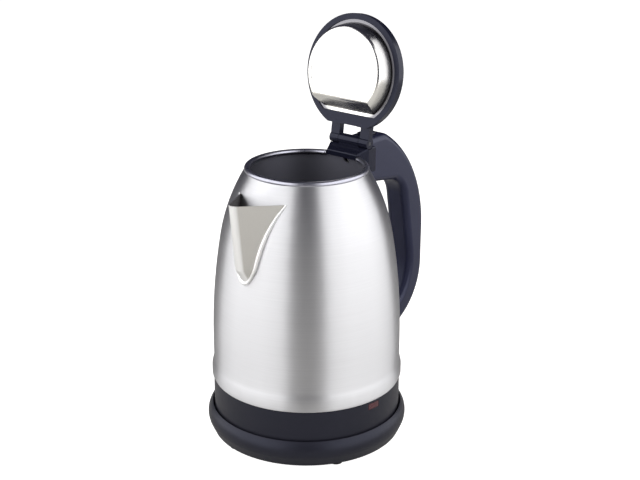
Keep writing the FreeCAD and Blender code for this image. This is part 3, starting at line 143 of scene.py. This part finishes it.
# Steel body: stainless sheet drawn to a jug and brushed round its axis, so light spreads up and down the
# wall. The inside is left dull from drawing, and painted a darker grey as painted shade. Strokes are about
# 0.1 mm apart, drawn 0.6 mm apart so that they show.
STROKE_GAP = 0.0006
STROKE_LENGTH = 1 / 12
brushed, shader, place = start("body_steel_brushed", Metallic=1.0, Anisotropic=0.92,
                               Anisotropic_Rotation=0.25)
lines = add(brushed, "Mapping", {"Scale": (1 / STROKE_LENGTH, 1 / STROKE_LENGTH, 1 / STROKE_GAP)},
            {"Vector": place})
strokes = add(brushed, "TexNoise", {"Scale": 1.0, "Detail": 4.0, "Roughness": 0.6},
              {"Vector": lines.outputs["Vector"]})
tint = add(brushed, "ValToRGB", {}, {"Fac": strokes.outputs["Fac"]})
tint.color_ramp.elements[0].color = linear("#cbcbcd")
tint.color_ramp.elements[1].color = linear("#d9d9db")
facing = add(brushed, "TexCoord", {}).outputs["Normal"]
level = add(brushed, "VectorMath", {"operation": "MULTIPLY", 1: (1, 1, 0)}, {0: place})
outward = add(brushed, "VectorMath", {"operation": "DOT_PRODUCT"}, {0: level.outputs["Vector"], 1: facing})
outside = add(brushed, "Math", {"operation": "GREATER_THAN", 1: 0.0}, {0: outward.outputs["Value"]})
# Painted shade: faces turned inwards get a darker grey than the brushed outside.
painted_shade_skin = add(brushed, "MixRGB", {"Color1": linear("#80808a")},
           {"Fac": outside.outputs[0], "Color2": tint.outputs["Color"]})
stroke_sheen = add(brushed, "MapRange", {"To Min": 0.44, "To Max": 0.52}, {"Value": strokes.outputs["Fac"]})
sheen = add(brushed, "MapRange", {"To Min": 0.9}, {"Value": outside.outputs[0],
                                                   "To Max": stroke_sheen.outputs["Result"]})
relief = add(brushed, "Bump", {"Strength": 0.03, "Distance": 0.00005}, {"Height": strokes.outputs["Fac"]})
brushed.node_tree.links.new(painted_shade_skin.outputs["Color"], shader.inputs["Base Color"])
brushed.node_tree.links.new(sheen.outputs["Result"], shader.inputs["Roughness"])
brushed.node_tree.links.new(relief.outputs["Normal"], shader.inputs["Normal"])
dress(["body_shell"], brushed)

# Spout: a V folded from the same sheet and ground to an even satin once its seam is welded, so its flat
# sides mix what they face. The grit leaves marks about 0.1 mm long, drawn 0.5 mm long so that they show.
# The fold is painted near white as a painted highlight, and the inside is left dull from the weld and
# painted dark as painted shade.
FOLD_HALF_WIDTH = 0.0045
FOLD_BLEND = 0.001
GRIT_MARK = 0.0005
INSIDE_LIMIT = -0.01
satin, shader, place = start("spout_steel_satin", Metallic=1.0)
grit = add(satin, "TexNoise", {"Scale": 1 / GRIT_MARK, "Detail": 3.0}, {"Vector": place})
tint = add(satin, "ValToRGB", {}, {"Fac": grit.outputs["Fac"]})
tint.color_ramp.elements[0].color = linear("#bcbab6")
tint.color_ramp.elements[1].color = linear("#cac8c4")
across = add(satin, "SeparateXYZ", {}, {"Vector": place})
off_fold = add(satin, "Math", {"operation": "ABSOLUTE"}, {0: across.outputs["Y"]})
# Painted highlight: a near-white band along the fold, within FOLD_HALF_WIDTH of the middle.
fold_highlight_mask = add(satin, "MapRange", {"From Min": FOLD_HALF_WIDTH, "From Max": FOLD_HALF_WIDTH - FOLD_BLEND},
             {"Value": off_fold.outputs[0]})
painted_fold_highlight = add(satin, "MixRGB", {"Color2": linear("#f8f8f8")},
           {"Fac": fold_highlight_mask.outputs["Result"], "Color1": tint.outputs["Color"]})
facing = add(satin, "TexCoord", {}).outputs["Normal"]
level = add(satin, "VectorMath", {"operation": "MULTIPLY", 1: (1, 1, 0)}, {0: place})
outward = add(satin, "VectorMath", {"operation": "DOT_PRODUCT"}, {0: level.outputs["Vector"], 1: facing})
outside = add(satin, "Math", {"operation": "GREATER_THAN", 1: INSIDE_LIMIT}, {0: outward.outputs["Value"]})
# Painted shade: faces turned inwards are painted dark.
painted_shade_skin = add(satin, "MixRGB", {"Color1": linear("#6a6868")},
           {"Fac": outside.outputs[0], "Color2": painted_fold_highlight.outputs["Color"]})
ground = add(satin, "MapRange", {"To Min": 0.36, "To Max": 0.44}, {"Value": grit.outputs["Fac"]})
sheen = add(satin, "MapRange", {"To Min": 0.8}, {"Value": outside.outputs[0],
                                                 "To Max": ground.outputs["Result"]})
satin.node_tree.links.new(painted_shade_skin.outputs["Color"], shader.inputs["Base Color"])
satin.node_tree.links.new(sheen.outputs["Result"], shader.inputs["Roughness"])
dress(["spout"], satin)

# Spout weld: the seam of spout and body is filled and polished to a soft bright round that thins towards the
# rim. It lies in the corner of the two sheets, half a millimetre into both, from one top corner of the spout
# round its toe to the other.
WELD_RADIUS = 0.0014
WELD_RIPPLE = 0.002
# Each point has its place and its share of the bead's radius.
SEAM_SIDE = [
    (-0.0496, -0.0233, 0.2041, 0.5), (-0.0536, -0.0207, 0.1987, 0.7), (-0.0572, -0.0183, 0.1926, 0.9),
    (-0.0604, -0.0161, 0.1863, 1.05), (-0.0632, -0.0142, 0.1794, 1.15), (-0.0655, -0.0125, 0.1723, 1.25),
    (-0.0673, -0.0110, 0.1650, 1.3), (-0.0691, -0.0090, 0.1550, 1.15), (-0.0697, -0.0068, 0.1506, 1),
    (-0.0704, -0.0047, 0.1464, 0.9), (-0.0709, -0.0020, 0.1435, 0.85)]
seam = SEAM_SIDE + [(x, -y, z, share) for x, y, z, share in reversed(SEAM_SIDE)]
route = bpy.data.curves.new("weld_route", "CURVE")
route.dimensions = "3D"
route.bevel_depth = WELD_RADIUS
route.use_fill_caps = True
spline = route.splines.new("NURBS")
spline.points.add(len(seam) - 1)
for point, (x, y, z, share) in zip(spline.points, seam):
    point.co = (x, y, z, 1)
    point.radius = share
spline.order_u = 3
spline.use_endpoint_u = True
line = bpy.data.objects.new("weld_route", route)
bpy.context.collection.objects.link(line)
weld = bpy.data.objects.new("spout_weld", bpy.data.meshes.new_from_object(
    line.evaluated_get(bpy.context.evaluated_depsgraph_get())))
bpy.data.objects.remove(line)
bpy.context.collection.objects.link(weld)
polished, shader, place = start("weld_steel_polished", Metallic=1.0)
ripple = add(polished, "TexNoise", {"Scale": 1 / WELD_RIPPLE, "Detail": 2.0}, {"Vector": place})
tint = add(polished, "ValToRGB", {}, {"Fac": ripple.outputs["Fac"]})
tint.color_ramp.elements[0].color = linear("#ececec")
tint.color_ramp.elements[1].color = linear("#fafafa")
sheen = add(polished, "MapRange", {"To Min": 0.28, "To Max": 0.36}, {"Value": ripple.outputs["Fac"]})
polished.node_tree.links.new(tint.outputs["Color"], shader.inputs["Base Color"])
polished.node_tree.links.new(sheen.outputs["Result"], shader.inputs["Roughness"])
weld.data.polygons.foreach_set("use_smooth", [True] * len(weld.data.polygons))
weld.data.materials.clear()
weld.data.materials.append(polished)
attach(weld, "kettle")

# Rolled rim: the edge of the body's sheet is curled round into a bead that the lid closes on. It is painted
# a darker grey than the body as painted shade, with waves about 4 mm long. It runs from one side of the
# hinge block, round by the spout, to the other.
RIM_RADIUS = 0.0456
RIM_HEIGHT = 0.2175
RIM_CURL = 0.0023
RIM_BREAK = math.radians(20.6)
RIM_SIDES = 24
RIM_STEPS = 180
RIM_WAVE = 0.004
curl = bmesh.new()
upright = Matrix.Rotation(RIM_BREAK, 4, "Z") @ Matrix.Translation((RIM_RADIUS, 0, RIM_HEIGHT))
bmesh.ops.create_circle(curl, cap_ends=True, segments=RIM_SIDES, radius=RIM_CURL,
                        matrix=upright @ Matrix.Rotation(math.radians(90), 4, "X"))
bmesh.ops.spin(curl, geom=curl.faces[:], cent=(0, 0, 0), axis=(0, 0, 1),
               angle=2 * math.pi - 2 * RIM_BREAK, steps=RIM_STEPS)
bmesh.ops.recalc_face_normals(curl, faces=curl.faces[:])
rim = bpy.data.objects.new("rolled_rim", bpy.data.meshes.new("rolled_rim"))
curl.to_mesh(rim.data)
curl.free()
bpy.context.collection.objects.link(rim)
rim.data.polygons.foreach_set("use_smooth", [True] * len(rim.data.polygons))
curled, shader, place = start("rim_steel_curled", Metallic=1.0)
wave = add(curled, "TexNoise", {"Scale": 1 / RIM_WAVE, "Detail": 2.0}, {"Vector": place})
# Painted shade: the rim's grey is darker than the body's steel.
tint = add(curled, "ValToRGB", {}, {"Fac": wave.outputs["Fac"]})
tint.color_ramp.elements[0].color = linear("#9c9ca6")
tint.color_ramp.elements[1].color = linear("#aeaeb8")
sheen = add(curled, "MapRange", {"To Min": 0.24, "To Max": 0.34}, {"Value": wave.outputs["Fac"]})
curled.node_tree.links.new(tint.outputs["Color"], shader.inputs["Base Color"])
curled.node_tree.links.new(sheen.outputs["Result"], shader.inputs["Roughness"])
rim.data.materials.append(curled)
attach(rim, "kettle")

# Drawn steel: the lid's pan and plate keep the mill's bright face, a little wavy every 10 mm, and are
# painted darker from the pan's foot to the flange that the lid's ring grips, as painted shade. The floor and
# the strainer, of the same sheet, lie far from the lid's middle and take that darker grey all over.
# The lid stands open across X, so a huge scale along X leaves only the distance from its middle.
LID_MIDDLE = (0.056, 0, 0.2824)
LID_FLAT = (1e6, 1, 1)
PAN_FOOT = 0.0352
PAN_FLANGE = 0.0389
MILL_WAVE = 0.01
bright, shader, place = start("lid_steel_bright", Metallic=1.0)
wave = add(bright, "TexNoise", {"Scale": 1 / MILL_WAVE, "Detail": 3.0}, {"Vector": place})
tint = add(bright, "ValToRGB", {}, {"Fac": wave.outputs["Fac"]})
tint.color_ramp.elements[0].color = linear("#e2e0dc")
tint.color_ramp.elements[1].color = linear("#eeede9")
from_middle = add(bright, "Mapping", {"vector_type": "TEXTURE", "Location": LID_MIDDLE, "Scale": LID_FLAT},
                  {"Vector": place})
reach = add(bright, "VectorMath", {"operation": "LENGTH"}, {0: from_middle.outputs["Vector"]})
# Painted shade: the colour goes darker from the pan's foot to the flange, and stays dark beyond it.
painted_flange_shade = add(bright, "MapRange", {"From Min": PAN_FOOT, "From Max": PAN_FLANGE},
           {"Value": reach.outputs["Value"]})
painted_shade_skin = add(bright, "MixRGB", {"Color2": linear("#77767a")},
           {"Fac": painted_flange_shade.outputs["Result"], "Color1": tint.outputs["Color"]})
sheen = add(bright, "MapRange", {"To Min": 0.19, "To Max": 0.27}, {"Value": wave.outputs["Fac"]})
bright.node_tree.links.new(painted_shade_skin.outputs["Color"], shader.inputs["Base Color"])
bright.node_tree.links.new(sheen.outputs["Result"], shader.inputs["Roughness"])
dress(["lid_inner_pan", "lid_top_plate", "floor_plate", "spout_strainer"], bright)

# Heat plate: a disc of rolled aluminium soldered under the steel floor to spread the element's heat.
# The rolls leave it pale and even, with faint marks about 3 mm wide.
ROLL_MARK = 0.003
aluminium, shader, place = start("heat_plate_aluminium_rolled", Metallic=1.0, Roughness=0.4)
rolled = add(aluminium, "TexNoise", {"Scale": 1 / ROLL_MARK, "Detail": 3.0}, {"Vector": place})
tint = add(aluminium, "ValToRGB", {}, {"Fac": rolled.outputs["Fac"]})
tint.color_ramp.elements[0].color = linear("#b5b6b8")
tint.color_ramp.elements[1].color = linear("#cdced0")
aluminium.node_tree.links.new(tint.outputs["Color"], shader.inputs["Base Color"])
dress(["heat_plate"], aluminium)

# Indicator: a window moulded of dark red polycarbonate, snapped into the skirt, with a small glass neon lamp
# behind it. The window is glossy with a haze about 2 mm wide, and the lamp's glass shows the pale orange of
# its gas.
LENS_HAZE = 0.002
LAMP_GLOW = 0.004
red_lens, shader, place = start("lens_polycarbonate_red", Roughness=0.18, IOR=1.58)
haze = add(red_lens, "TexNoise", {"Scale": 1 / LENS_HAZE, "Detail": 2.0}, {"Vector": place})
tint = add(red_lens, "ValToRGB", {}, {"Fac": haze.outputs["Fac"]})
tint.color_ramp.elements[0].color = linear("#3a161d")
tint.color_ramp.elements[1].color = linear("#4c1a24")
red_lens.node_tree.links.new(tint.outputs["Color"], shader.inputs["Base Color"])
dress(["indicator_lens"], red_lens)
lamp_glass, shader, place = start("lamp_glass_blown", Roughness=0.08, IOR=1.5)
glow = add(lamp_glass, "TexNoise", {"Scale": 1 / LAMP_GLOW, "Detail": 1.0}, {"Vector": place})
tint = add(lamp_glass, "ValToRGB", {}, {"Fac": glow.outputs["Fac"]})
tint.color_ramp.elements[0].color = linear("#d9a184")
tint.color_ramp.elements[1].color = linear("#e8c4ae")
lamp_glass.node_tree.links.new(tint.outputs["Color"], shader.inputs["Base Color"])
dress(["indicator_lamp"], lamp_glass)

# Steam tube: a bent pipe of natural nylon that leads steam from the neck of the body down the handle to the
# switch. It is extruded, so it is smooth and milky, with clouds about 5 mm wide.
NYLON_CLOUD = 0.005
nylon, shader, place = start("steam_tube_nylon_extruded", Roughness=0.45, IOR=1.53)
milk = add(nylon, "TexNoise", {"Scale": 1 / NYLON_CLOUD, "Detail": 2.0}, {"Vector": place})
tint = add(nylon, "ValToRGB", {}, {"Fac": milk.outputs["Fac"]})
tint.color_ramp.elements[0].color = linear("#d8d5cb")
tint.color_ramp.elements[1].color = linear("#e4e1d8")
nylon.node_tree.links.new(tint.outputs["Color"], shader.inputs["Base Color"])
dress(["steam_tube"], nylon)

# Handle mouldings: the handle, the strip that closes it and the switch, of a bluer ABS with a finer satin,
# screwed to the body. Grains are about 0.15 mm wide, drawn 0.6 mm wide so that they show.
TRIM_GRAIN = 0.0006
TRIM_CLOUD = 0.05
trim_abs, shader, place = start("trim_abs_moulded", IOR=ABS_IOR, Specular_IOR_Level=0.46,
                                Specular_Tint=ABS_SHEEN)
grain = add(trim_abs, "TexNoise", {"Scale": 1 / TRIM_GRAIN, "Detail": 3.0}, {"Vector": place})
cloud = add(trim_abs, "TexNoise", {"Scale": 1 / TRIM_CLOUD, "Detail": 2.0}, {"Vector": place})
tint = add(trim_abs, "ValToRGB", {}, {"Fac": cloud.outputs["Fac"]})
tint.color_ramp.elements[0].color = linear("#14162a")
tint.color_ramp.elements[1].color = linear("#1b1d34")
sheen = add(trim_abs, "MapRange", {"To Min": 0.27, "To Max": 0.38}, {"Value": grain.outputs["Fac"]})
relief = add(trim_abs, "Bump", {"Strength": 0.05, "Distance": 0.00004}, {"Height": grain.outputs["Fac"]})
trim_abs.node_tree.links.new(tint.outputs["Color"], shader.inputs["Base Color"])
trim_abs.node_tree.links.new(sheen.outputs["Result"], shader.inputs["Roughness"])
trim_abs.node_tree.links.new(relief.outputs["Normal"], shader.inputs["Normal"])
dress(["handle_shell", "handle_inner_cover", "switch_lever"], trim_abs)

# Lid and hinge mouldings: the lid's ring and arms, the hinge block and the button, of a darker ABS from
# polished moulds, so only their edges catch the light. Flow marks are about 3 mm wide.
FLOW_MARK = 0.003
lid_abs, shader, place = start("lid_abs_polished", IOR=ABS_IOR, Specular_IOR_Level=0.26,
                               Specular_Tint=ABS_SHEEN)
flow = add(lid_abs, "TexNoise", {"Scale": 1 / FLOW_MARK, "Detail": 3.0}, {"Vector": place})
tint = add(lid_abs, "ValToRGB", {}, {"Fac": flow.outputs["Fac"]})
tint.color_ramp.elements[0].color = linear("#11121d")
tint.color_ramp.elements[1].color = linear("#171826")
sheen = add(lid_abs, "MapRange", {"To Min": 0.18, "To Max": 0.26}, {"Value": flow.outputs["Fac"]})
lid_abs.node_tree.links.new(tint.outputs["Color"], shader.inputs["Base Color"])
lid_abs.node_tree.links.new(sheen.outputs["Result"], shader.inputs["Roughness"])
dress(["hinge_block", "lid_frame", "lid_button"], lid_abs)

# Hinge pin: a steel rod pressed through the lid's arms and the block's barrel. It is blackened in an oxide
# bath, so that its ends don't show beside the black arms. The oxide's mottle is about 1 mm wide.
OXIDE_MOTTLE = 0.001
blackened, shader, place = start("pin_steel_blackened", Roughness=0.4)
oxide = add(blackened, "TexNoise", {"Scale": 1 / OXIDE_MOTTLE, "Detail": 3.0}, {"Vector": place})
tint = add(blackened, "ValToRGB", {}, {"Fac": oxide.outputs["Fac"]})
tint.color_ramp.elements[0].color = linear("#12131c")
tint.color_ramp.elements[1].color = linear("#1c1d28")
blackened.node_tree.links.new(tint.outputs["Color"], shader.inputs["Base Color"])
dress(["hinge_pin"], blackened)

# Fixings: screws, strap, switch pin, lid spring and heating element, of steel that is plated with zinc or
# nickel after it is cut or bent. The plating is grey and half bright, with a mottle about 1 mm wide.
PLATING_MOTTLE = 0.001
plated, shader, place = start("fixing_steel_plated", Metallic=1.0, Roughness=0.32)
mottle = add(plated, "TexNoise", {"Scale": 1 / PLATING_MOTTLE, "Detail": 3.0}, {"Vector": place})
tint = add(plated, "ValToRGB", {}, {"Fac": mottle.outputs["Fac"]})
tint.color_ramp.elements[0].color = linear("#a3a3a5")
tint.color_ramp.elements[1].color = linear("#c4c4c6")
plated.node_tree.links.new(tint.outputs["Color"], shader.inputs["Base Color"])
dress(["base_screws", "skirt_screws", "control_screws", "handle_screws", "handle_top_bracket", "switch_pin",
       "lid_spring", "heating_element"], plated)

# Button spring: a coil of plated spring wire in the handle that lifts the lid button. It shortens as the
# button goes down, so its turns are pressed together towards their seat.
turns = bmesh.new()
turns.from_mesh(nodes["button_spring"].data)
bmesh.ops.remove_doubles(turns, verts=turns.verts[:], dist=FACET_GAP)
spring = bpy.data.objects.new("button_spring_turns", bpy.data.meshes.new("button_spring_turns"))
turns.to_mesh(spring.data)
turns.free()
bpy.context.collection.objects.link(spring)
spring.data.polygons.foreach_set("use_smooth", [True] * len(spring.data.polygons))
spring.data.materials.clear()
spring.data.materials.append(plated)
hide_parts("button_spring")
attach(spring, "kettle")
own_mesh(spring)

# Studio: a pale paper table that the camera sees blown out to white, three tall softboxes on each side of
# the camera, which leave a dark strip behind it for the steel to mirror, and a dim room.
TABLE_SIZE = 12
TABLE_GLARE = 0.95
bpy.ops.mesh.primitive_plane_add(size=TABLE_SIZE)
table = bpy.context.object
table.name = "studio_table"
paper, shader, place = start("table_paper", Roughness=0.9, Base_Color=linear("#d6d4ce"))
shader.inputs["Emission Color"].default_value = linear("#ffffff")
seen = add(paper, "LightPath", {})
glare = add(paper, "Math", {"operation": "MULTIPLY", 1: TABLE_GLARE}, {0: seen.outputs["Is Camera Ray"]})
paper.node_tree.links.new(glare.outputs[0], shader.inputs["Emission Strength"])
table.data.materials.append(paper)

CAMERA_SIDE = 221
SOFTBOX_TURNS = (39, 72, 105)
SOFTBOX_DISTANCE = 1.4
SOFTBOX_MIDDLE = 1.15
SOFTBOX_TALL = 2.5
SOFTBOX_WIDE = 0.85
SOFTBOX_POWER = 15.5
for side in (-1, 1):
    for turn in SOFTBOX_TURNS:
        light = bpy.data.lights.new("softbox", "AREA")
        light.shape = "RECTANGLE"
        light.size = SOFTBOX_WIDE
        light.size_y = SOFTBOX_TALL
        light.energy = SOFTBOX_POWER
        lamp = bpy.data.objects.new("softbox", light)
        bpy.context.collection.objects.link(lamp)
        angle = math.radians(CAMERA_SIDE + side * turn)
        outward = Vector((math.cos(angle), math.sin(angle), 0))
        lamp.location = SOFTBOX_DISTANCE * outward + Vector((0, 0, SOFTBOX_MIDDLE))
        lamp.rotation_euler = (-outward).to_track_quat("-Z", "Y").to_euler()

room = bpy.data.worlds.new("room")
bpy.context.scene.world = room
room.use_nodes = True
room.node_tree.nodes.clear()
seen = add(room, "LightPath", {})
walls = add(room, "Background", {"Color": linear("#3a3a48"), "Strength": 1.0})
backdrop = add(room, "Background", {"Color": linear("#ffffff"), "Strength": 1.0})
both = add(room, "MixShader", {}, {0: seen.outputs["Is Camera Ray"], 1: walls.outputs["Background"],
                                   2: backdrop.outputs["Background"]})
add(room, "OutputWorld", {}, {"Surface": both.outputs["Shader"]})
bpy.context.scene.view_settings.view_transform = "Standard"

# Camera: the photograph's place, heading, tilt and roll, worked out from the outlines of rim, base and lid,
# and its focal length in pixels of a picture 640 pixels wide.
SENSOR_WIDTH = 36
FOCAL_PIXELS = 1225
PICTURE_PIXELS = 640
CAMERA_PLACE = (-0.6792, -0.5905, 0.481)
CAMERA_HEADING = -49.66
CAMERA_DOWNWARD = 19.71
CAMERA_ROLL = 0.18
camera_data = bpy.data.cameras.new("photo_camera")
camera_data.sensor_width = SENSOR_WIDTH
camera_data.lens = FOCAL_PIXELS * SENSOR_WIDTH / PICTURE_PIXELS
camera = bpy.data.objects.new("photo_camera", camera_data)
bpy.context.collection.objects.link(camera)
heading = Matrix.Rotation(math.radians(CAMERA_HEADING), 4, "Z")
tilt = Matrix.Rotation(math.radians(90 - CAMERA_DOWNWARD), 4, "X")
roll = Matrix.Rotation(math.radians(CAMERA_ROLL), 4, "Z")
camera.matrix_world = Matrix.Translation(CAMERA_PLACE) @ heading @ tilt @ roll
bpy.context.scene.camera = camera
